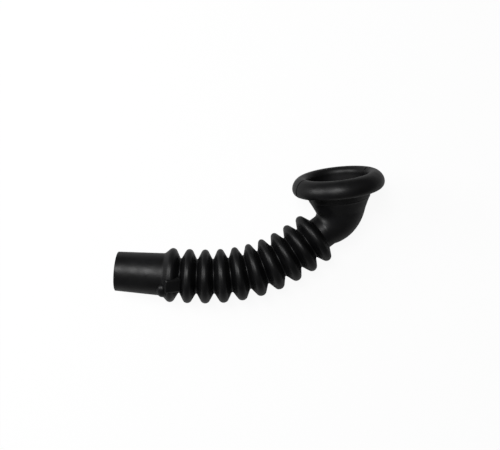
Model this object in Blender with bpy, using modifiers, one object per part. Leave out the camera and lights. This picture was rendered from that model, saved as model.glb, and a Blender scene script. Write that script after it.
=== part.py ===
"""Washer dispenser hose: one rubber moulding with a cuff, ten convolutions, a flared elbow and a collar.

The hose is turned as a straight blank, bent along its axis, and laid on its side as it would come
to rest on a table. Metres and radians, +Z up; the origin is under the middle of the laid hose.
"""
import math

import bmesh
import bpy
from mathutils import Matrix, Vector

# The cuff, a plain sleeve that slides over the drawer's outlet
CUFF_LENGTH = 0.0366
CUFF_END_RADIUS = 0.0157
CUFF_ROOT_RADIUS = 0.0171
CUFF_WALL = 0.0026
CUFF_EDGE_ROUND = 0.0006

# The convolutions; the roundings are the radii of the arcs in the outer profile
CONVOLUTIONS = 10
PITCH = 0.01355
CREST_RADIUS = 0.02175
VALLEY_RADIUS = 0.0140
CREST_ROUND = 0.0026
VALLEY_ROUND = 0.0013
BELLOWS_WALL = 0.0020
ROOT_LENGTH = 0.0074
ROOT_ROUND = 0.0025

# The neck and the elbow, which opens out round a tight inner corner
NECK_RADIUS = 0.0136
NECK_LENGTH = 0.0050
ELBOW_WALL = 0.0024
ELBOW_END_RADIUS = 0.0197
ELBOW_CORNER_ROUND = 0.0027
ELBOW_ANGLE = math.radians(63.3)

# The throat flares from the elbow to the collar's ring and has a fine bead round it
THROAT_LENGTH = 0.0146
THROAT_END_RADIUS = 0.0268
BEAD_BELOW_END = 0.0050
BEAD_HEIGHT = 0.0004
BEAD_WIDTH = 0.0016

# The collar's solid ring: an oval section that leans in towards the mouth
RING_RADIUS = 0.0310
RING_HALF_THICKNESS = 0.0058
RING_HALF_HEIGHT = 0.0077
RING_RISE = 0.0083
RING_LEAN = math.radians(18.2)

# How the convolutions give: the bend grows towards the elbow, and the elbow is rolled to one side
BEND_ANGLE = math.radians(40.6)
BEND_SKEW = 1.14
ROLL_ANGLE = math.radians(17.3)

# The locating lug in the first valley, and the nub beside it on the cuff's root. Angles are
# measured round the hose from its top line, as it lies.
LUG_LENGTH = 0.0135
LUG_WIDTH = 0.0115
LUG_DEPTH = 0.0080
LUG_EDGE_ROUND = 0.0008
LUG_SLOPE = math.radians(24.0)
LUG_TOP_RADIUS = 0.0206
LUG_PAST_CREST = 0.0037
LUG_ANGLE = math.radians(-20.5)
NUB_HALF_LENGTH = 0.0046
NUB_HALF_WIDTH = 0.0062
NUB_HALF_DEPTH = 0.0045
NUB_CENTRE_RADIUS = 0.0174
NUB_PAST_CUFF = 0.0020
NUB_ANGLE = math.radians(-42.0)

# Facets
SIDES = 30
CREST_POINTS = 4
VALLEY_POINTS = 3
INNER_CREST_POINTS = 2
ELBOW_STEPS = 10
RING_POINTS = 16
NUB_SIDES = 14
AXIS_STEP = 0.0002
CORE_PIN_RADIUS = 0.0050
SHARP_ANGLE = math.radians(50.0)

# Stations along the straight blank, measured from the cuff's open end
FIRST_CREST = CUFF_LENGTH + ROOT_LENGTH
LAST_CREST = FIRST_CREST + PITCH * (CONVOLUTIONS - 1)
BEND_START = FIRST_CREST - PITCH / 2
NECK_START = LAST_CREST + PITCH / 2
ELBOW_START = NECK_START + NECK_LENGTH
ELBOW_END = ELBOW_START + ELBOW_ANGLE * (NECK_RADIUS + ELBOW_CORNER_ROUND)
THROAT_END = ELBOW_END + THROAT_LENGTH


def clear_scene():
    for thing in list(bpy.data.objects):
        bpy.data.objects.remove(thing, do_unlink=True)


def new_collection(name):
    collection = bpy.data.collections.new(name)
    bpy.context.scene.collection.children.link(collection)
    return collection


def rubber():
    """Black EPDM with the satin skin that a mould leaves."""
    material = bpy.data.materials.new("black_rubber")
    material.use_nodes = True
    shader = material.node_tree.nodes["Principled BSDF"]
    shader.inputs["Base Color"].default_value = (0.012, 0.012, 0.013, 1.0)
    shader.inputs["Roughness"].default_value = 0.42
    shader.inputs["Metallic"].default_value = 0.0
    return material


def belt(turns):
    """Runs a line along a row of round turns, tangent to each, and gives its points.

    A turn is (station, radius, rounding, points). The rounding is positive where the surface
    passes outside the turn's centre, negative where it passes inside, and 0 at a sharp corner.
    """
    angles = []
    for (s0, r0, round0, _), (s1, r1, round1, _) in zip(turns, turns[1:]):
        reach = math.hypot(s1 - s0, r1 - r0)
        angles.append(math.atan2(r1 - r0, s1 - s0) - math.asin((round0 - round1) / reach))
    arriving = [angles[0]] + angles
    leaving = angles + [angles[-1]]
    points = []
    for (s, r, rounding, count), start, end in zip(turns, arriving, leaving):
        for k in range(count):
            angle = start + (end - start) * (k / (count - 1) if count > 1 else 0.5)
            points.append((s - rounding * math.sin(angle), r + rounding * math.cos(angle)))
    return points


def bellows(inset, crest_points, root_points):
    """The profile from the cuff's root, over every crest, to the neck, moved in by the wall."""
    turns = [(CUFF_LENGTH, CUFF_ROOT_RADIUS + ROOT_ROUND, -ROOT_ROUND - inset, root_points)]
    for i in range(CONVOLUTIONS):
        crest = FIRST_CREST + PITCH * i
        turns.append((crest, CREST_RADIUS - CREST_ROUND, CREST_ROUND - inset, crest_points))
        if i < CONVOLUTIONS - 1:
            turns.append((crest + PITCH / 2, VALLEY_RADIUS + VALLEY_ROUND, -VALLEY_ROUND - inset, VALLEY_POINTS))
    turns.append((NECK_START, NECK_RADIUS + VALLEY_ROUND, -VALLEY_ROUND - inset, VALLEY_POINTS))
    return turns


def elbow_radius(station):
    """Outer radius of the elbow, which opens out evenly along its bend."""
    share = min(max((station - ELBOW_START) / (ELBOW_END - ELBOW_START), 0.0), 1.0)
    return NECK_RADIUS + (ELBOW_END_RADIUS - NECK_RADIUS) * share


def throat_radius(station):
    """Outer radius of the throat, and of the cone that it would run on in."""
    return ELBOW_END_RADIUS + (THROAT_END_RADIUS - ELBOW_END_RADIUS) * (station - ELBOW_END) / THROAT_LENGTH


def elbow_stations():
    step = (ELBOW_END - ELBOW_START) / ELBOW_STEPS
    return [ELBOW_START + step * k for k in range(ELBOW_STEPS + 1)]


def ring_point(angle):
    """A point of the collar ring's oval section; angle 0 looks outward and 90 degrees to the mouth."""
    out = RING_HALF_THICKNESS * math.cos(angle)
    up = RING_HALF_HEIGHT * math.sin(angle)
    station = THROAT_END + RING_RISE + up * math.cos(RING_LEAN) + out * math.sin(RING_LEAN)
    radius = RING_RADIUS + out * math.cos(RING_LEAN) - up * math.sin(RING_LEAN)
    return station, radius


def collar(inner_foot):
    """The ring's section from the throat's outside, over the rim, to where the mouth's wall touches it."""
    around = [ring_point(2 * math.pi * k / RING_POINTS) for k in range(-RING_POINTS // 2, RING_POINTS)]
    first = next(i for i, (s, r) in enumerate(around) if r > throat_radius(s))
    mouth = range(RING_POINTS * 3 // 4, RING_POINTS * 5 // 4)
    last = min(mouth, key=lambda i: (around[i][1] - inner_foot[1]) / (around[i][0] - inner_foot[0]))
    return around[first:last + 1]


def outer_profile():
    """The outside, from the cuff's open end to the throat's end."""
    edge = CUFF_EDGE_ROUND
    bore_corner = (0.0, CUFF_END_RADIUS - CUFF_WALL, 0.0, 1)
    open_end = [bore_corner, (edge, CUFF_END_RADIUS - edge, edge, 3)]
    neck_end = [(ELBOW_START, NECK_RADIUS, 0.0, 1)]
    points = belt(open_end + bellows(0.0, CREST_POINTS, 3) + neck_end)[1:]
    points += [(s, elbow_radius(s)) for s in elbow_stations()[1:]]
    bead = THROAT_END - BEAD_BELOW_END
    points.append((bead - BEAD_WIDTH / 2, throat_radius(bead - BEAD_WIDTH / 2)))
    points.append((bead, throat_radius(bead) + BEAD_HEIGHT))
    points.append((bead + BEAD_WIDTH / 2, throat_radius(bead + BEAD_WIDTH / 2)))
    return points


def bore_turns(grown):
    """The bore's profile from the cuff's open end to the neck's end, grown into the wall if asked."""
    cuff_bore = [(0.0, CUFF_END_RADIUS - CUFF_WALL + grown, 0.0, 1),
                 (CUFF_LENGTH - CUFF_WALL, CUFF_ROOT_RADIUS - CUFF_WALL + grown, 0.0, 1)]
    neck_end = [(ELBOW_START, NECK_RADIUS - ELBOW_WALL + grown, 0.0, 1)]
    return cuff_bore + bellows(BELLOWS_WALL - grown, INNER_CREST_POINTS, 1)[1:] + neck_end


def inner_profile():
    """The inside, from the cuff's open end to the elbow's end."""
    return belt(bore_turns(0.0)) + [(s, elbow_radius(s) - ELBOW_WALL) for s in elbow_stations()[1:]]


def turned(name, section):
    """Turns a closed section of (station, radius) points round the hose's straight axis."""
    mesh = bpy.data.meshes.new(name + "_section")
    count = len(section)
    edges = [(k, (k + 1) % count) for k in range(count)]
    mesh.from_pydata([(r, 0.0, s) for s, r in section], edges, [])
    blank = bpy.data.objects.new(name, mesh)
    bpy.context.scene.collection.objects.link(blank)
    screw = blank.modifiers.new("Turn", "SCREW")
    screw.axis = "Z"
    screw.angle = 2 * math.pi
    screw.steps = SIDES
    screw.render_steps = SIDES
    screw.use_merge_vertices = True
    screw.merge_threshold = 0.00001
    result = bpy.data.meshes.new_from_object(blank.evaluated_get(bpy.context.evaluated_depsgraph_get()))
    bpy.data.objects.remove(blank, do_unlink=True)
    result.name = name
    return result


def bend_share(station):
    return min(max((station - BEND_START) / (NECK_START - BEND_START), 0.0), 1.0)


def heading(station):
    """Direction of the axis in the plane of the bend, as an angle from the cuff's own axis."""
    return BEND_ANGLE * (1 - math.cos(math.pi * bend_share(station) ** BEND_SKEW)) / 2


class Axis:
    """The bent hose's axis: for a station, the section's centre and the way that it faces."""

    def __init__(self):
        self.stations = [0.0]
        self.centres = [Vector((0.0, 0.0, 0.0))]
        while self.stations[-1] < ELBOW_START:
            station = self.stations[-1]
            angle = heading(station + AXIS_STEP / 2)
            step = Vector((math.cos(angle), math.sin(angle), 0.0)) * AXIS_STEP
            self.stations.append(station + AXIS_STEP)
            self.centres.append(self.centres[-1] + step)

    def before_elbow(self, station):
        """Centre, direction and left side of a section in the cuff, the convolutions or the neck."""
        angle = heading(station)
        along = Vector((math.cos(angle), math.sin(angle), 0.0))
        row = min(max(int(station / AXIS_STEP), 0), len(self.centres) - 1)
        centre = self.centres[row] + along * (station - self.stations[row])
        roll = Matrix.Rotation(ROLL_ANGLE * bend_share(station), 3, along)
        return centre, along, roll @ Vector((-math.sin(angle), math.cos(angle), 0.0))

    def section(self, station):
        """The matrix that places the flat section of this station on the bent hose."""
        centre, along, left = self.before_elbow(min(station, ELBOW_START))
        if station > ELBOW_START:
            corner = centre + left * (NECK_RADIUS + ELBOW_CORNER_ROUND)
            share = min((station - ELBOW_START) / (ELBOW_END - ELBOW_START), 1.0)
            turn = Matrix.Rotation(ELBOW_ANGLE * share, 3, along.cross(left))
            along = turn @ along
            left = turn @ left
            centre = corner - left * (elbow_radius(station) + ELBOW_CORNER_ROUND)
            centre += along * max(station - ELBOW_END, 0.0)
        up = along.cross(left)
        placed = Matrix((left, up, along)).transposed().to_4x4()
        placed.translation = centre
        return placed


def bend(mesh, axis):
    """Carries every point of the straight blank to its place on the bent hose."""
    body = bmesh.new()
    body.from_mesh(mesh)
    for vertex in body.verts:
        station = vertex.co.z
        vertex.co = axis.section(station) @ Vector((vertex.co.x, vertex.co.y, 0.0))
    body.normal_update()
    bmesh.ops.recalc_face_normals(body, faces=body.faces)
    body.to_mesh(mesh)
    body.free()


def centre_of_mass(body):
    """Centre of the volume of a closed body."""
    total = 0.0
    moment = Vector((0.0, 0.0, 0.0))
    for a, b, c in body.calc_loop_triangles():
        volume = a.vert.co.dot(b.vert.co.cross(c.vert.co))
        total += volume
        moment += (a.vert.co + b.vert.co + c.vert.co) * (volume / 4)
    return moment / total


def holds(corners, normal, point):
    """Whether a point, carried along the normal, falls inside the triangle of these corners."""
    sides = zip(corners, corners[1:] + corners[:1])
    return all((b - a).cross(point - a).dot(normal) >= 0 for a, b in sides)


def resting_pose(mesh):
    """The pose in which the hose lies on its side, with the rolled elbow's mouth turned up.

    A body at rest stands on a face of its convex hull that has the centre of mass over it. Of
    those faces this takes the one that faces away from the side the elbow is rolled to.
    """
    body = bmesh.new()
    body.from_mesh(mesh)
    centre = centre_of_mass(body)
    hull = bmesh.new()
    for vertex in body.verts:
        hull.verts.new(vertex.co)
    body.free()
    bmesh.ops.convex_hull(hull, input=hull.verts)
    bmesh.ops.triangulate(hull, faces=hull.faces)
    hull.normal_update()
    footings = []
    for face in hull.faces:
        corners = [v.co.copy() for v in face.verts]
        outward = face.normal.copy()
        if outward.dot(corners[0] - centre) < 0:
            outward.negate()
        if holds(corners, face.normal, centre):
            footings.append(outward)
    hull.free()
    down = min(footings, key=lambda outward: outward.z)
    pose = down.rotation_difference(Vector((0.0, 0.0, -1.0))).to_matrix()
    cuff = pose @ Vector((1.0, 0.0, 0.0))
    pose = Matrix.Rotation(-math.atan2(cuff.y, cuff.x), 3, "Z") @ pose
    placed = [pose @ v.co for v in mesh.vertices]
    low = Vector(min(p[i] for p in placed) for i in range(3))
    high = Vector(max(p[i] for p in placed) for i in range(3))
    return Matrix.Translation((-(low.x + high.x) / 2, -(low.y + high.y) / 2, -low.z)) @ pose.to_4x4()


def side_of_hose(axis, station, angle, radius):
    """A matrix on the hose's side: X along the hose, Z straight out, at an angle from its top line."""
    section = axis.section(station)
    outward = Vector((math.sin(angle), math.cos(angle), 0.0))
    along = Vector((0.0, 0.0, 1.0))
    local = Matrix((along, outward.cross(along), outward)).transposed().to_4x4()
    local.translation = outward * radius
    return section @ local


def new_former(name, mesh, collection):
    """An object that only shapes the hose, and isn't part of it."""
    former = bpy.data.objects.new(name, mesh)
    former.hide_render = True
    former.display_type = "WIRE"
    collection.objects.link(former)
    return former


def core_former(axis, collection):
    """The mould's core, grown halfway into the wall, so that what it trims ends inside the wall."""
    turns = belt(bore_turns(BELLOWS_WALL / 2))
    mesh = turned("core_former", turns + [(turns[-1][0], CORE_PIN_RADIUS), (turns[0][0], CORE_PIN_RADIUS)])
    bend(mesh, axis)
    return new_former("core_former", mesh, collection)


def lug_former(axis, collection):
    """A block whose flat top slopes from the first crest down to the second one's flank."""
    body = bmesh.new()
    bmesh.ops.create_cube(body, size=1.0)
    bmesh.ops.scale(body, vec=(LUG_LENGTH, LUG_WIDTH, LUG_DEPTH), verts=body.verts)
    bmesh.ops.translate(body, vec=(0.0, 0.0, -LUG_DEPTH / 2), verts=body.verts)
    mesh = bpy.data.meshes.new("lug_former")
    body.to_mesh(mesh)
    body.free()
    lug = new_former("lug_former", mesh, collection)
    tilt = Matrix.Rotation(LUG_SLOPE, 4, "Y")
    lug.matrix_world = side_of_hose(axis, FIRST_CREST + LUG_PAST_CREST, LUG_ANGLE, LUG_TOP_RADIUS) @ tilt
    edge = lug.modifiers.new("Round edges", "BEVEL")
    edge.width = LUG_EDGE_ROUND
    edge.segments = 2
    return lug


def nub_former(axis, collection):
    """A low egg-shaped nub on the cuff's root."""
    body = bmesh.new()
    bmesh.ops.create_uvsphere(body, u_segments=NUB_SIDES, v_segments=NUB_SIDES // 2, radius=1.0)
    bmesh.ops.scale(body, vec=(NUB_HALF_LENGTH, NUB_HALF_WIDTH, NUB_HALF_DEPTH), verts=body.verts)
    mesh = bpy.data.meshes.new("nub_former")
    body.to_mesh(mesh)
    body.free()
    nub = new_former("nub_former", mesh, collection)
    nub.matrix_world = side_of_hose(axis, CUFF_LENGTH + NUB_PAST_CUFF, NUB_ANGLE, NUB_CENTRE_RADIUS)
    return nub


def combine(thing, operation, other):
    step = thing.modifiers.new(operation.title() + " " + other.name, "BOOLEAN")
    step.operation = operation
    step.solver = "EXACT"
    step.object = other


def dispenser_hose():
    """The finished hose: the bent moulding with its lug and nub, laid at rest."""
    parts = new_collection("washer_dispenser_hose")
    formers = new_collection("formers")
    axis = Axis()
    inside = inner_profile()
    mesh = turned("dispenser_hose", outer_profile() + collar(inside[-1]) + inside[::-1])
    bend(mesh, axis)
    mesh.materials.append(rubber())
    hose = bpy.data.objects.new("dispenser_hose", mesh)
    parts.objects.link(hose)
    pose = resting_pose(mesh)
    hose.matrix_world = pose
    core = core_former(axis, formers)
    core.matrix_world = pose
    for former in (lug_former(axis, formers), nub_former(axis, formers)):
        former.matrix_world = pose @ former.matrix_world
        combine(former, "DIFFERENCE", core)
        combine(hose, "UNION", former)
    mesh.shade_smooth()
    mesh.set_sharp_from_angle(angle=SHARP_ANGLE)
    return hose


clear_scene()
dispenser_hose()
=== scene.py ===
"""Looks of the washer dispenser hose: one black rubber moulding that lies on a white table.

The hose is drawn again with fine facets and replaces its solid. It has the solid's sizes, apart
from a few rounder forms that are named below. Metres and radians, in the solid's frame.
"""
import math

import bmesh
import bpy
from mathutils import Matrix, Vector


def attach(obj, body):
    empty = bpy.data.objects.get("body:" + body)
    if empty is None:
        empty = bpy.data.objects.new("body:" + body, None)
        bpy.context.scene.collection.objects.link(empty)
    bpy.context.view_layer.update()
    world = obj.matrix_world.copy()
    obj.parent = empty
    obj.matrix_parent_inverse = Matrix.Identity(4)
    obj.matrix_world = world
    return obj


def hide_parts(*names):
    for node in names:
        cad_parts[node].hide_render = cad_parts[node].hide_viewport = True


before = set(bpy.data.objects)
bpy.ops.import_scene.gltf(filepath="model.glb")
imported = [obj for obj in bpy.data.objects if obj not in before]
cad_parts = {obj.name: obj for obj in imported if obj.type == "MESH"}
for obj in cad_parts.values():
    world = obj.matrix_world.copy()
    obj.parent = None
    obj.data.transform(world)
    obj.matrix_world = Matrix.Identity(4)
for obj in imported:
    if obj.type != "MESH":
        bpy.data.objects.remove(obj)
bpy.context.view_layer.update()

# The hose's sizes, the same as its solid's
CUFF_LENGTH = 0.0366
CUFF_END_RADIUS = 0.0157
CUFF_ROOT_RADIUS = 0.0171
CUFF_WALL = 0.0026
CUFF_EDGE_ROUND = 0.0006
CONVOLUTIONS = 10
PITCH = 0.01355
CREST_RADIUS = 0.02175
VALLEY_RADIUS = 0.0140
BELLOWS_WALL = 0.0020
ROOT_LENGTH = 0.0074
ROOT_ROUND = 0.0025
NECK_RADIUS = 0.0136
NECK_LENGTH = 0.0050
ELBOW_WALL = 0.0024
ELBOW_END_RADIUS = 0.0197
ELBOW_CORNER_ROUND = 0.0027
ELBOW_ANGLE = math.radians(63.3)
THROAT_LENGTH = 0.0146
THROAT_END_RADIUS = 0.0268
BEAD_BELOW_END = 0.0050
BEAD_WIDTH = 0.0016
RING_HALF_THICKNESS = 0.0058
RING_HALF_HEIGHT = 0.0077
RING_RISE = 0.0083
BEND_ANGLE = math.radians(40.6)
BEND_SKEW = 1.14
ROLL_ANGLE = math.radians(17.3)
LUG_LENGTH = 0.0135
LUG_WIDTH = 0.0115
LUG_DEPTH = 0.0080
LUG_SLOPE = math.radians(24.0)
LUG_TOP_RADIUS = 0.0206
LUG_PAST_CREST = 0.0037
LUG_ANGLE = math.radians(-20.5)
NUB_HALF_LENGTH = 0.0046
NUB_HALF_WIDTH = 0.0062
NUB_HALF_DEPTH = 0.0045
NUB_CENTRE_RADIUS = 0.0174
NUB_PAST_CUFF = 0.0020
NUB_ANGLE = math.radians(-42.0)

# Forms that aren't quite the solid's: rounder crests, tighter valleys, a lower bead, softer edges
# on the lug, and a collar ring that leans further in
CREST_ROUND = 0.0036
VALLEY_ROUND = 0.0008
BEAD_HEIGHT = 0.0002
LUG_EDGE_ROUND = 0.0018
RING_RADIUS = 0.0305
RING_LEAN = math.radians(36.0)

# How the hose lies: the middle of the cuff's open end, and how the cuff is tipped there
CUFF_END_PLACE = Vector((-0.10414, -0.04066, 0.02392))
CUFF_DIP = math.radians(1.684)
HOSE_ROLL = math.radians(5.897)

# How gently the elbow's slope turns into the throat's, and where the softening has died out
FLARE_SOFTNESS = 0.0030
FLARE_SOFTENED_BY = 30.0

# The parting line of the mould along both sides of the hose: a fine ridge with a groove beside it,
# which turns toward the upper side in the elbow and is faint as far as the collar
PARTING_RIDGE = 0.00022
PARTING_GROOVE = 0.00050
PARTING_ANGLE = math.radians(1.8)
PARTING_TURN = math.radians(8.0)
FAINT_PARTING = 0.12
PARTING_FADE = 4

# Across the parting line, in parting angles: half widths, the ridge's place and the close facets
GROOVE_HALF_WIDTH = 0.7
GROOVE_STEEPNESS = 1.75
RIDGE_PLACE = 1.4
CLOSE_FACETS = (-2.0, -1.4, -0.7, -0.3, 0.3, 0.7, 1.3)
CLEAR_OF_FACETS = 2.2

# Facets
SIDES = 120
CREST_POINTS = 13
VALLEY_POINTS = 9
INNER_CREST_POINTS = 5
FLANK_STEP = 0.0015
ELBOW_STEPS = 36
RING_POINTS = 56
NUB_SIDES = 48
ROOT_POINTS = 9
EDGE_POINTS = 7
BEAD_STEPS = 4
LUG_EDGE_SEGMENTS = 5
SHARP_ANGLE = math.radians(50.0)
AXIS_STEP = 0.0002
CORE_PIN_RADIUS = 0.0050

# Stations along the straight blank, measured from the cuff's open end
FIRST_CREST = CUFF_LENGTH + ROOT_LENGTH
LAST_CREST = FIRST_CREST + PITCH * (CONVOLUTIONS - 1)
BEND_START = FIRST_CREST - PITCH / 2
NECK_START = LAST_CREST + PITCH / 2
ELBOW_START = NECK_START + NECK_LENGTH
ELBOW_END = ELBOW_START + ELBOW_ANGLE * (NECK_RADIUS + ELBOW_CORNER_ROUND)
THROAT_END = ELBOW_END + THROAT_LENGTH

# The camera, from the hose's own axes: it looks along -Z from above a point of the table
CAMERA_DISTANCE = 0.5020
CAMERA_OFFSET = Vector((-0.107006, -0.037000, 0.0))
CAMERA_YAW = math.radians(2.5)
CAMERA_PITCH = math.radians(-0.9)
CAMERA_ROLL = math.radians(-4.256)
CAMERA_LENS_MM = 45.0
CAMERA_SENSOR_MM = 36.0
CAMERA_CLIP_START = 0.01

# The rubber: colour under the bloom and in it, and the finish of the skin, the bore and the seam; the
# bore's lower shine is painted shade inside the mouth, and the seam's shine is taken away as painted
# shade in its groove
RUBBER_BARE = (0.0022, 0.0022, 0.0025)
RUBBER_BLOOM = (0.0050, 0.0050, 0.0055)
BLOOM_SCALE = 55.0
WIPED_SCALE = 120.0
SKIN_ROUGHNESS = (0.36, 0.48)
BORE_ADDED_ROUGHNESS = 0.30
SKIN_SHINE = 0.28
# The bore's lower shine is painted shade inside the mouth; its added roughness is its duller finish
DARKENED_BORE_SHINE = 0.10
FLOW_SCALE = 160.0
FLOW_HEIGHT = 0.0006
FLOW_STRENGTH = 0.25
GRAIN_SCALE = 2600.0
GRAIN_HEIGHT = 0.00006
GRAIN_STRENGTH = 0.35

# The table: its colour for the camera and for the light that it throws back on the hose
TABLE_HALF_WIDTH = 3.0
TABLE_SEEN = (1.0, 1.0, 1.0)
TABLE_BOUNCE = (0.50, 0.50, 0.50)
TABLE_ROUGHNESS = 0.85
TABLE_SHINE = 0.1
TABLE_GLOW = 0.93

# The light: the room's, and each lamp's name, place, aim, size and power
ROOM_LIGHT = 0.10
LAMPS = (
    ("overhead_softbox", (-0.25, 0.14, 1.00), (0.0, -0.02, 0.0), (0.34, 0.40), 6.5),
    ("left_softbox", (-0.85, 0.12, 0.55), (0.0, 0.0, 0.0), (0.45, 0.45), 5.0),
)


def belt(turns):
    """Runs a line along a row of round turns, tangent to each, and gives its points.

    A turn is (station, radius, rounding, points). The rounding is positive where the surface
    passes outside the turn's centre, negative where it passes inside, and 0 at a sharp corner.
    """
    angles = []
    for (s0, r0, round0, _), (s1, r1, round1, _) in zip(turns, turns[1:]):
        reach = math.hypot(s1 - s0, r1 - r0)
        angles.append(math.atan2(r1 - r0, s1 - s0) - math.asin((round0 - round1) / reach))
    arriving = [angles[0]] + angles
    leaving = angles + [angles[-1]]
    points = []
    for (s, r, rounding, count), start, end in zip(turns, arriving, leaving):
        for k in range(count):
            angle = start + (end - start) * (k / (count - 1) if count > 1 else 0.5)
            points.append((s - rounding * math.sin(angle), r + rounding * math.cos(angle)))
    return points


def divided(points):
    """The same line with every long stretch cut up, so that it can bend."""
    result = [points[0]]
    for (s0, r0), (s1, r1) in zip(points, points[1:]):
        steps = max(1, math.ceil(math.hypot(s1 - s0, r1 - r0) / FLANK_STEP))
        for k in range(1, steps + 1):
            result.append((s0 + (s1 - s0) * k / steps, r0 + (r1 - r0) * k / steps))
    return result


def bellows(inset, crest_points, root_points):
    """The profile from the cuff's root, over every crest, to the neck, moved in by the wall."""
    turns = [(CUFF_LENGTH, CUFF_ROOT_RADIUS + ROOT_ROUND, -ROOT_ROUND - inset, root_points)]
    for i in range(CONVOLUTIONS):
        crest = FIRST_CREST + PITCH * i
        turns.append((crest, CREST_RADIUS - CREST_ROUND, CREST_ROUND - inset, crest_points))
        if i < CONVOLUTIONS - 1:
            valley = crest + PITCH / 2
            turns.append((valley, VALLEY_RADIUS + VALLEY_ROUND, -VALLEY_ROUND - inset, VALLEY_POINTS))
    turns.append((NECK_START, NECK_RADIUS + VALLEY_ROUND, -VALLEY_ROUND - inset, VALLEY_POINTS))
    return turns


def elbow_radius(station):
    """Outer radius where the elbow's slope runs on evenly."""
    length = ELBOW_END - ELBOW_START
    return NECK_RADIUS + (ELBOW_END_RADIUS - NECK_RADIUS) * (station - ELBOW_START) / length


def throat_radius(station):
    """Outer radius of the elbow and the throat, which turns smoothly from one slope to the other."""
    elbow_slope = (ELBOW_END_RADIUS - NECK_RADIUS) / (ELBOW_END - ELBOW_START)
    throat_slope = (THROAT_END_RADIUS - ELBOW_END_RADIUS) / THROAT_LENGTH
    past = (station - ELBOW_END) / FLARE_SOFTNESS
    softened = FLARE_SOFTNESS * math.log1p(math.exp(min(past, FLARE_SOFTENED_BY)))
    return elbow_radius(station) + (throat_slope - elbow_slope) * softened


def elbow_stations():
    """Stations through the elbow and on up the throat, as far as the bead."""
    end = THROAT_END - BEAD_BELOW_END - BEAD_WIDTH / 2
    step = (end - ELBOW_START) / ELBOW_STEPS
    return [ELBOW_START + step * k for k in range(ELBOW_STEPS + 1)]


def ring_point(angle):
    """A point of the collar ring's oval section; angle 0 looks outward and 90 degrees to the mouth."""
    out = RING_HALF_THICKNESS * math.cos(angle)
    up = RING_HALF_HEIGHT * math.sin(angle)
    station = THROAT_END + RING_RISE + up * math.cos(RING_LEAN) + out * math.sin(RING_LEAN)
    radius = RING_RADIUS + out * math.cos(RING_LEAN) - up * math.sin(RING_LEAN)
    return station, radius


def collar():
    """The ring's section from the throat's outside, over the rim, to its narrowest part."""
    around = [ring_point(2 * math.pi * k / RING_POINTS) for k in range(-RING_POINTS // 2, RING_POINTS)]
    first = next(i for i, (s, r) in enumerate(around) if r > throat_radius(s))
    mouth = range(RING_POINTS * 3 // 4, RING_POINTS * 5 // 4)
    last = min(mouth, key=lambda i: around[i][1])
    return around[first:last + 1]


def bead():
    """The fine bead round the throat, as a smooth hump."""
    middle = THROAT_END - BEAD_BELOW_END
    points = []
    for k in range(-BEAD_STEPS, BEAD_STEPS + 1):
        station = middle + BEAD_WIDTH / 2 * k / BEAD_STEPS
        hump = BEAD_HEIGHT * (1 + math.cos(math.pi * k / BEAD_STEPS)) / 2
        points.append((station, throat_radius(station) + hump))
    return points


def outer_profile():
    """The outside, from the cuff's open end to the throat's end."""
    edge = CUFF_EDGE_ROUND
    bore_corner = (0.0, CUFF_END_RADIUS - CUFF_WALL, 0.0, 1)
    open_end = [bore_corner, (edge, CUFF_END_RADIUS - edge, edge, EDGE_POINTS)]
    neck_end = [(ELBOW_START, NECK_RADIUS, 0.0, 1)]
    points = belt(open_end + bellows(0.0, CREST_POINTS, ROOT_POINTS) + neck_end)[1:]
    return points + [(s, throat_radius(s)) for s in elbow_stations()[1:-1]] + bead()


def bore_turns(grown):
    """The bore's profile from the cuff's open end to the neck's end, grown into the wall if asked."""
    cuff_bore = [(0.0, CUFF_END_RADIUS - CUFF_WALL + grown, 0.0, 1),
                 (CUFF_LENGTH - CUFF_WALL, CUFF_ROOT_RADIUS - CUFF_WALL + grown, 0.0, 1)]
    neck_end = [(ELBOW_START, NECK_RADIUS - ELBOW_WALL + grown, 0.0, 1)]
    return cuff_bore + bellows(BELLOWS_WALL - grown, INNER_CREST_POINTS, 1)[1:] + neck_end


def inner_profile():
    """The inside, from the cuff's open end to the foot of the collar's ring."""
    throat = [(s, throat_radius(s) - ELBOW_WALL) for s in elbow_stations()[1:] + [THROAT_END]]
    return belt(bore_turns(0.0)) + throat


def bend_share(station):
    return min(max((station - BEND_START) / (NECK_START - BEND_START), 0.0), 1.0)


def heading(station):
    """Direction of the axis in the plane of the bend, as an angle from the cuff's own axis."""
    return BEND_ANGLE * (1 - math.cos(math.pi * bend_share(station) ** BEND_SKEW)) / 2


class Axis:
    """The bent hose's axis: for a station, the section's centre and the way that it faces."""

    def __init__(self):
        self.stations = [0.0]
        self.centres = [Vector((0.0, 0.0, 0.0))]
        while self.stations[-1] < ELBOW_START:
            station = self.stations[-1]
            angle = heading(station + AXIS_STEP / 2)
            step = Vector((math.cos(angle), math.sin(angle), 0.0)) * AXIS_STEP
            self.stations.append(station + AXIS_STEP)
            self.centres.append(self.centres[-1] + step)

    def before_elbow(self, station):
        """Centre, direction and left side of a section in the cuff, the convolutions or the neck."""
        angle = heading(station)
        along = Vector((math.cos(angle), math.sin(angle), 0.0))
        row = min(max(int(station / AXIS_STEP), 0), len(self.centres) - 1)
        centre = self.centres[row] + along * (station - self.stations[row])
        roll = Matrix.Rotation(ROLL_ANGLE * bend_share(station), 3, along)
        return centre, along, roll @ Vector((-math.sin(angle), math.cos(angle), 0.0))

    def section(self, station):
        """The matrix that places the flat section of this station on the bent hose."""
        centre, along, left = self.before_elbow(min(station, ELBOW_START))
        if station > ELBOW_START:
            corner = centre + left * (NECK_RADIUS + ELBOW_CORNER_ROUND)
            share = min((station - ELBOW_START) / (ELBOW_END - ELBOW_START), 1.0)
            turn = Matrix.Rotation(ELBOW_ANGLE * share, 3, along.cross(left))
            along = turn @ along
            left = turn @ left
            centre = corner - left * (elbow_radius(min(station, ELBOW_END)) + ELBOW_CORNER_ROUND)
            centre += along * max(station - ELBOW_END, 0.0)
        up = along.cross(left)
        placed = Matrix((left, up, along)).transposed().to_4x4()
        placed.translation = centre
        return placed


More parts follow.
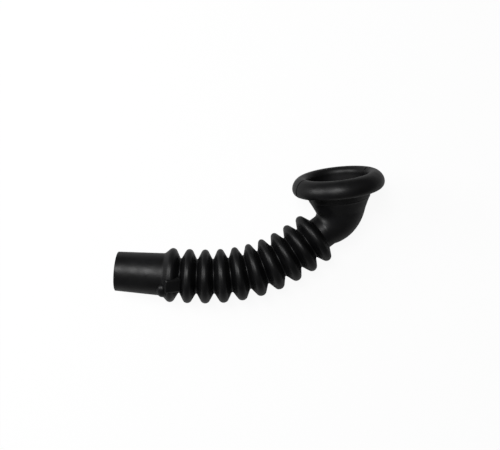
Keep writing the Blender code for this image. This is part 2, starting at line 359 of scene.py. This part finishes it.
def side_of_hose(axis, station, angle, radius):
    """A matrix on the hose's side: X along the hose, Z straight out, at an angle from its top line."""
    section = axis.section(station)
    outward = Vector((math.sin(angle), math.cos(angle), 0.0))
    along = Vector((0.0, 0.0, 1.0))
    local = Matrix((along, outward.cross(along), outward)).transposed().to_4x4()
    local.translation = outward * radius
    return section @ local


def laid():
    """From the hose's own axes, which start at the cuff's open end, to the table's."""
    tipped = Matrix.Rotation(CUFF_DIP, 4, "Y") @ Matrix.Rotation(HOSE_ROLL, 4, "X")
    return Matrix.Translation(CUFF_END_PLACE) @ tipped


def ring_angles():
    """The angles of the points round a section, with close ones at the two parting lines."""
    even = [2 * math.pi * k / SIDES for k in range(SIDES)]
    clear = [a for a in even if abs(from_parting(a)) > PARTING_ANGLE * CLEAR_OF_FACETS]
    close = [PARTING_ANGLE * share for share in CLOSE_FACETS]
    lines = [(line + angle) % (2 * math.pi) for line in (0.0, math.pi) for angle in close]
    return sorted(clear + lines)


def from_parting(angle):
    """The angle from the nearer parting line, positive on the upper side of the hose as it lies."""
    left, right = (math.remainder(angle - line, 2 * math.pi) for line in (0.0, math.pi))
    return left if abs(left) < abs(right) else -right


def groove(angle):
    """1 at the bottom of the parting line's groove and 0 outside it."""
    share = from_parting(angle) / PARTING_ANGLE
    return min(max(1.0 - abs(share) / GROOVE_HALF_WIDTH, 0.0) * GROOVE_STEEPNESS, 1.0)


def parting(angle):
    """How far the surface stands out at an angle: a groove, then a ridge on its lower side."""
    share = from_parting(angle) / PARTING_ANGLE
    ridge = max(1.0 - abs(share + RIDGE_PLACE) / GROOVE_HALF_WIDTH, 0.0)
    return PARTING_RIDGE * ridge - PARTING_GROOVE * groove(angle)


def parting_turn(station):
    """How far the parting line has turned round the hose, all of it between the elbow's ends."""
    share = min(max((station - ELBOW_START) / (ELBOW_END - ELBOW_START), 0.0), 1.0)
    return PARTING_TURN * share


def parting_depth(station):
    """How much of the parting line shows: little up to the elbow's end, all of it on the collar."""
    share = min(max((station - ELBOW_END) / (THROAT_END - ELBOW_END), 0.0), 1.0)
    return FAINT_PARTING + (1.0 - FAINT_PARTING) * share ** PARTING_FADE


def swept(name, outside, inside, axis, angles):
    """A closed hollow mesh from an outer and an inner profile, carried along the bent axis.

    Each point keeps whether it is on the inside, so that the bore gets a duller finish and a lower shine,
    the lower shine being painted shade inside the mouth, and whether it is down in the parting line,
    where its shine is taken away as painted shade in the groove.
    """
    body = bmesh.new()
    bore_layer = body.verts.layers.float.new("bore")
    groove_shade_layer = body.verts.layers.float.new("groove_shade")
    rings = []
    outer_count = len(outside)
    for i, (station, radius) in enumerate(outside + inside[::-1]):
        place = axis.section(station) @ Matrix.Rotation(parting_turn(station), 4, "Z")
        depth = parting_depth(station) if i < outer_count else 0.0
        ring = []
        for angle in angles:
            r = radius + parting(angle) * depth
            vertex = body.verts.new(place @ Vector((r * math.cos(angle), r * math.sin(angle), 0.0)))
            # Inside points get a lower shine below, painted shade inside the mouth
            vertex[bore_layer] = 0.0 if i < outer_count else 1.0
            # How far down in the parting groove the point is, which takes its shine away: painted shade
            # in the groove
            vertex[groove_shade_layer] = groove(angle) * depth
            ring.append(vertex)
        rings.append(ring)
    count = len(angles)
    for ring, following in zip(rings, rings[1:] + rings[:1]):
        for k in range(count):
            after = (k + 1) % count
            body.faces.new((ring[k], ring[after], following[after], following[k]))
    body.normal_update()
    bmesh.ops.recalc_face_normals(body, faces=body.faces)
    mesh = bpy.data.meshes.new(name)
    body.to_mesh(mesh)
    body.free()
    return mesh


def new_piece(name, mesh):
    piece = bpy.data.objects.new(name, mesh)
    bpy.context.scene.collection.objects.link(piece)
    return piece


def finish_shape(piece, former):
    """Applies the piece's modifiers, with the former cut off it, and smooths its faces."""
    cut = piece.modifiers.new("Keep out of the bore", "BOOLEAN")
    cut.operation = "DIFFERENCE"
    cut.solver = "EXACT"
    cut.object = former
    made = bpy.data.meshes.new_from_object(piece.evaluated_get(bpy.context.evaluated_depsgraph_get()))
    piece.modifiers.clear()
    piece.data = made
    made.shade_smooth()
    made.set_sharp_from_angle(angle=SHARP_ANGLE)


def locating_lug(axis, core):
    """A block whose flat top slopes from the first crest down to the second one's flank."""
    body = bmesh.new()
    bmesh.ops.create_cube(body, size=1.0)
    bmesh.ops.scale(body, vec=(LUG_LENGTH, LUG_WIDTH, LUG_DEPTH), verts=body.verts)
    bmesh.ops.translate(body, vec=(0.0, 0.0, -LUG_DEPTH / 2), verts=body.verts)
    bmesh.ops.bevel(body, geom=body.edges, offset=LUG_EDGE_ROUND, segments=LUG_EDGE_SEGMENTS,
                    profile=0.5, affect="EDGES")
    mesh = bpy.data.meshes.new("locating_lug")
    body.to_mesh(mesh)
    body.free()
    tilt = Matrix.Rotation(LUG_SLOPE, 4, "Y")
    place = side_of_hose(axis, FIRST_CREST + LUG_PAST_CREST, LUG_ANGLE, LUG_TOP_RADIUS)
    mesh.transform(laid() @ place @ tilt)
    lug = new_piece("locating_lug", mesh)
    finish_shape(lug, core)
    return lug


def root_nub(axis, core):
    """A low egg-shaped nub on the cuff's root."""
    body = bmesh.new()
    bmesh.ops.create_uvsphere(body, u_segments=NUB_SIDES, v_segments=NUB_SIDES // 2, radius=1.0)
    bmesh.ops.scale(body, vec=(NUB_HALF_LENGTH, NUB_HALF_WIDTH, NUB_HALF_DEPTH), verts=body.verts)
    mesh = bpy.data.meshes.new("root_nub")
    body.to_mesh(mesh)
    body.free()
    place = side_of_hose(axis, CUFF_LENGTH + NUB_PAST_CUFF, NUB_ANGLE, NUB_CENTRE_RADIUS)
    mesh.transform(laid() @ place)
    nub = new_piece("root_nub", mesh)
    finish_shape(nub, core)
    return nub


def build_hose():
    axis = Axis()
    inside = divided(inner_profile())
    outside = divided(outer_profile()) + collar()
    mesh = swept("moulded_hose", outside, inside, axis, ring_angles())
    mesh.shade_smooth()
    mesh.set_sharp_from_angle(angle=SHARP_ANGLE)
    mesh.transform(laid())
    hose = new_piece("moulded_hose", mesh)
    turns = belt(bore_turns(BELLOWS_WALL / 2))
    pin = [(turns[0][0], CORE_PIN_RADIUS), (turns[-1][0], CORE_PIN_RADIUS)]
    core_angles = [2 * math.pi * k / SIDES for k in range(SIDES)]
    core = new_piece("core", swept("core", turns, pin, axis, core_angles))
    core.data.transform(laid())
    lug = locating_lug(axis, core)
    nub = root_nub(axis, core)
    bpy.data.objects.remove(core, do_unlink=True)
    return hose, lug, nub


class Nodes:
    """Short forms for building a material's node tree."""

    def __init__(self, tree):
        self.tree = tree

    def new(self, kind, **settings):
        node = self.tree.nodes.new(kind)
        for key, value in settings.items():
            setattr(node, key, value)
        return node

    def link(self, source, target):
        self.tree.links.new(source, target)

    def noise(self, vector, scale, detail, roughness=0.5):
        node = self.new("ShaderNodeTexNoise")
        node.inputs["Scale"].default_value = scale
        node.inputs["Detail"].default_value = detail
        node.inputs["Roughness"].default_value = roughness
        self.link(vector, node.inputs["Vector"])
        return node.outputs["Fac"]

    def spread(self, value, low, high, to_low, to_high):
        node = self.new("ShaderNodeMapRange")
        sockets = ("From Min", "From Max", "To Min", "To Max")
        for socket, number in zip(sockets, (low, high, to_low, to_high)):
            node.inputs[socket].default_value = number
        self.link(value, node.inputs["Value"])
        return node.outputs["Result"]

    def mix_colour(self, share, dark, pale):
        node = self.new("ShaderNodeMix", data_type="RGBA")
        node.inputs["A"].default_value = (*dark, 1.0)
        node.inputs["B"].default_value = (*pale, 1.0)
        self.link(share, node.inputs["Factor"])
        return node.outputs["Result"]

    def bump(self, height, distance, strength, under=None):
        node = self.new("ShaderNodeBump")
        node.inputs["Distance"].default_value = distance
        node.inputs["Strength"].default_value = strength
        self.link(height, node.inputs["Height"])
        if under is not None:
            self.link(under, node.inputs["Normal"])
        return node.outputs["Normal"]


def rubber():
    """Black moulded rubber: a satin skin with a faint bloom, soft flow marks and a fine grain."""
    material = bpy.data.materials.new("black_rubber")
    material.use_nodes = True
    nodes = Nodes(material.node_tree)
    shader = material.node_tree.nodes["Principled BSDF"]
    place = nodes.new("ShaderNodeTexCoord").outputs["Object"]
    bloom = nodes.spread(nodes.noise(place, BLOOM_SCALE, detail=4.0, roughness=0.6), 0.35, 0.70, 0.0, 1.0)
    nodes.link(nodes.mix_colour(bloom, RUBBER_BARE, RUBBER_BLOOM), shader.inputs["Base Color"])
    wiped = nodes.noise(place, WIPED_SCALE, detail=3.0, roughness=0.55)
    skin = nodes.spread(wiped, 0.3, 0.7, *SKIN_ROUGHNESS)
    dulling = nodes.new("ShaderNodeMath", operation="MULTIPLY_ADD")
    bore = nodes.new("ShaderNodeAttribute", attribute_name="bore").outputs["Fac"]
    groove_shade = nodes.new("ShaderNodeAttribute", attribute_name="groove_shade").outputs["Fac"]
    nodes.link(bore, dulling.inputs[0])
    dulling.inputs[1].default_value = BORE_ADDED_ROUGHNESS
    nodes.link(skin, dulling.inputs[2])
    nodes.link(dulling.outputs["Value"], shader.inputs["Roughness"])
    shine = nodes.new("ShaderNodeMath", operation="MULTIPLY")
    # The shine is lower in the bore, as painted shade inside the mouth
    nodes.link(nodes.spread(bore, 0.0, 1.0, SKIN_SHINE, DARKENED_BORE_SHINE), shine.inputs[0])
    # Down in the parting groove the shine goes to nothing: painted shade in the groove
    nodes.link(nodes.spread(groove_shade, 0.0, 1.0, 1.0, 0.0), shine.inputs[1])
    nodes.link(shine.outputs["Value"], shader.inputs["Specular IOR Level"])
    grain = nodes.noise(place, GRAIN_SCALE, detail=2.0)
    flow = nodes.noise(place, FLOW_SCALE, detail=3.0)
    soft = nodes.bump(flow, FLOW_HEIGHT, FLOW_STRENGTH)
    nodes.link(nodes.bump(grain, GRAIN_HEIGHT, GRAIN_STRENGTH, soft), shader.inputs["Normal"])
    return material


def floor_material():
    """White table top. For the camera part of it glows, so that it is white and keeps the shadow.

    The hose gets the light of a greyer table, which keeps its underside dark.
    """
    material = bpy.data.materials.new("white_table")
    material.use_nodes = True
    tree = material.node_tree
    nodes = Nodes(tree)
    shader = tree.nodes["Principled BSDF"]
    camera_ray = nodes.new("ShaderNodeLightPath").outputs["Is Camera Ray"]
    nodes.link(nodes.mix_colour(camera_ray, TABLE_BOUNCE, TABLE_SEEN), shader.inputs["Base Color"])
    shader.inputs["Roughness"].default_value = TABLE_ROUGHNESS
    shader.inputs["Specular IOR Level"].default_value = TABLE_SHINE
    glow = nodes.new("ShaderNodeEmission")
    glow.inputs["Color"].default_value = (1.0, 1.0, 1.0, 1.0)
    glow.inputs["Strength"].default_value = 1.0
    seen = nodes.new("ShaderNodeMath", operation="MULTIPLY")
    seen.inputs[1].default_value = TABLE_GLOW
    nodes.link(camera_ray, seen.inputs[0])
    blend = nodes.new("ShaderNodeMixShader")
    nodes.link(seen.outputs["Value"], blend.inputs["Fac"])
    nodes.link(shader.outputs["BSDF"], blend.inputs[1])
    nodes.link(glow.outputs["Emission"], blend.inputs[2])
    nodes.link(blend.outputs["Shader"], tree.nodes["Material Output"].inputs["Surface"])
    return material


def build_floor():
    half = TABLE_HALF_WIDTH
    corners = [(-half, -half, 0.0), (half, -half, 0.0), (half, half, 0.0), (-half, half, 0.0)]
    mesh = bpy.data.meshes.new("table")
    mesh.from_pydata(corners, [], [(0, 1, 2, 3)])
    mesh.materials.append(floor_material())
    table = new_piece("table", mesh)


def build_world():
    """White for the camera, and a dim even light for the hose."""
    world = bpy.data.worlds.new("studio")
    world.use_nodes = True
    bpy.context.scene.world = world
    nodes = Nodes(world.node_tree)
    background = world.node_tree.nodes["Background"]
    background.inputs["Color"].default_value = (1.0, 1.0, 1.0, 1.0)
    seen = nodes.new("ShaderNodeLightPath").outputs["Is Camera Ray"]
    nodes.link(nodes.spread(seen, 0.0, 1.0, ROOM_LIGHT, 1.0), background.inputs["Strength"])


def soft_lamp(name, place, target, size, power):
    lamp = bpy.data.lights.new(name, "AREA")
    lamp.shape = "RECTANGLE"
    lamp.size = size[0]
    lamp.size_y = size[1]
    lamp.energy = power
    holder = bpy.data.objects.new(name, lamp)
    bpy.context.scene.collection.objects.link(holder)
    holder.location = place
    holder.rotation_euler = (Vector(target) - Vector(place)).to_track_quat("-Z", "Y").to_euler()


def build_lights():
    for name, place, target, size, power in LAMPS:
        soft_lamp(name, place, target, size, power)


def build_camera():
    """Looks almost straight down at the hose, as the photograph does."""
    data = bpy.data.cameras.new("camera")
    data.lens = CAMERA_LENS_MM
    data.sensor_width = CAMERA_SENSOR_MM
    data.clip_start = CAMERA_CLIP_START
    camera = bpy.data.objects.new("camera", data)
    bpy.context.scene.collection.objects.link(camera)
    turned = Matrix.Rotation(CAMERA_YAW, 4, "Y") @ Matrix.Rotation(CAMERA_PITCH, 4, "X")
    seen_from_camera = Matrix.Translation(CAMERA_OFFSET) @ turned @ Matrix.Rotation(CAMERA_ROLL, 4, "Z")
    back = Matrix.Translation((0.0, 0.0, CAMERA_DISTANCE))
    camera.matrix_world = laid() @ seen_from_camera.inverted() @ back
    bpy.context.scene.camera = camera


def main():
    hose, lug, nub = build_hose()
    material = rubber()
    for piece in (hose, lug, nub):
        piece.data.materials.clear()
        piece.data.materials.append(material)
        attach(piece, "root")
    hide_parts("dispenser_hose")
    build_floor()
    build_world()
    build_lights()
    build_camera()
    bpy.context.scene.view_settings.view_transform = "Standard"


main()
